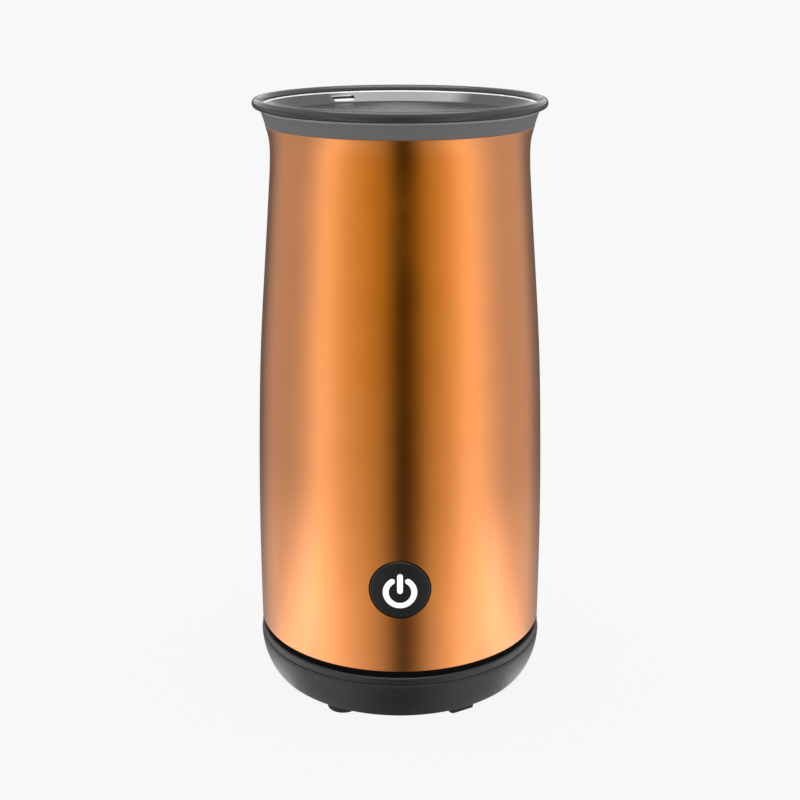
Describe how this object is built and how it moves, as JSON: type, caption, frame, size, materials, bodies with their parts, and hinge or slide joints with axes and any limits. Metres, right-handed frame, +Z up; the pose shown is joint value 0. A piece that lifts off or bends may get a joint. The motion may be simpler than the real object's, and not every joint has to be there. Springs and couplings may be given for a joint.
{
  "type": "milk frother",
  "caption": "Jug milk frother on a round cordless power base, with a copper-coloured sleeve, lift-off lid, push button and magnet-driven whisk.",
  "frame": {"origin": "on the table, under the middle of the feet", "axes": "+Z up; -Y is the front, with the push button; +X is to the right of a person facing the front"},
  "size_m": [0.1028, 0.1028, 0.209],
  "materials": {
    "copper": "polished copper-coloured metal finish",
    "black_plastic": "fine satin black",
    "button_plastic": "satin black",
    "grey_plastic": "matte mid grey",
    "pale_nylon": "natural nylon",
    "smoked_plastic": "see-through smoked grey",
    "foot_rubber": "matte black",
    "silicone": "grey silicone",
    "steel": "plain steel",
    "pot_lining": "dark grey non-stick coating",
    "brass": "bright",
    "magnet": "nickel plated",
    "circuit_board": "green solder mask",
    "lamp": "white, lit from behind"
  },
  "bodies": {
    "power_base": {"base_bowl": "black_plastic", "base_tray": "black_plastic", "base_screw_1": "steel", "base_screw_2": "steel", "base_screw_3": "steel", "base_connector": "black_plastic", "base_ring_contact": "brass", "base_centre_contact": "brass", "cord_gland": "foot_rubber", "foot_front_left": "foot_rubber", "foot_front_right": "foot_rubber", "foot_back_right": "foot_rubber", "foot_back_left": "foot_rubber"},
    "jug": {"outer_sleeve": "copper", "jug_base_ring": "black_plastic", "jug_bottom_cover": "black_plastic", "jug_connector": "black_plastic", "jug_ring_contact": "brass", "jug_centre_pin": "brass", "cover_screw_1": "steel", "cover_screw_2": "steel", "cover_screw_3": "steel", "collar_ring": "grey_plastic", "inner_pot": "pot_lining", "pot_gasket": "silicone", "pot_clamp_ring": "black_plastic", "pot_nut_1": "steel", "pot_nut_2": "steel", "pot_nut_3": "steel", "whisk_pin": "steel", "inner_chassis": "pale_nylon", "motor_can": "steel", "motor_end_cap": "black_plastic", "heating_element": "steel", "temperature_sensor": "brass", "thermal_cutout": "steel", "main_circuit_board": "circuit_board", "relay": "black_plastic", "capacitor": "black_plastic", "choke_coil": "brass", "button_guide": "black_plastic", "button_circuit_board": "circuit_board", "tact_switch": "black_plastic", "indicator_lamp_1": "lamp", "indicator_lamp_2": "lamp", "button_spring": "steel"},
    "lid": {"lid_dish": "smoked_plastic", "lid_seal": "silicone"},
    "rotor": {"motor_shaft": "steel", "drive_magnet_carrier": "pale_nylon", "drive_magnet_1": "magnet", "drive_magnet_2": "magnet"},
    "whisk": {"whisk_hub": "black_plastic", "whisk_coil": "steel", "whisk_magnet_1": "magnet", "whisk_magnet_2": "magnet"},
    "button": {"button_cap": "button_plastic", "symbol_lens": "lamp", "switch_plunger": "black_plastic"}
  },
  "joints": [
    {"name": "jug_lift", "type": "slide", "parent": "power_base", "child": "jug", "axis": [0, 0, 1], "range_m": [0, 0.06]},
    {"name": "lid_lift", "type": "slide", "parent": "jug", "child": "lid", "axis": [0, 0, 1], "range_m": [0, 0.06]},
    {"name": "rotor_spin", "type": "hinge", "parent": "jug", "child": "rotor", "pos_m": [0, 0, 0.087], "axis": [0, 0, 1], "continuous": true},
    {"name": "whisk_spin", "type": "hinge", "parent": "jug", "child": "whisk", "pos_m": [0, 0, 0.098], "axis": [0, 0, 1], "continuous": true},
    {"name": "button_press", "type": "slide", "parent": "jug", "child": "button", "axis": [0, 1, 0], "range_m": [0, 0.0012], "stiffness_N_per_m": 600, "springref_m": -0.0005, "deforming": ["button_spring"]}
  ],
  "couplings": [
    {"joint": "whisk_spin", "follows": "rotor_spin", "ratio": 1}
  ]
}
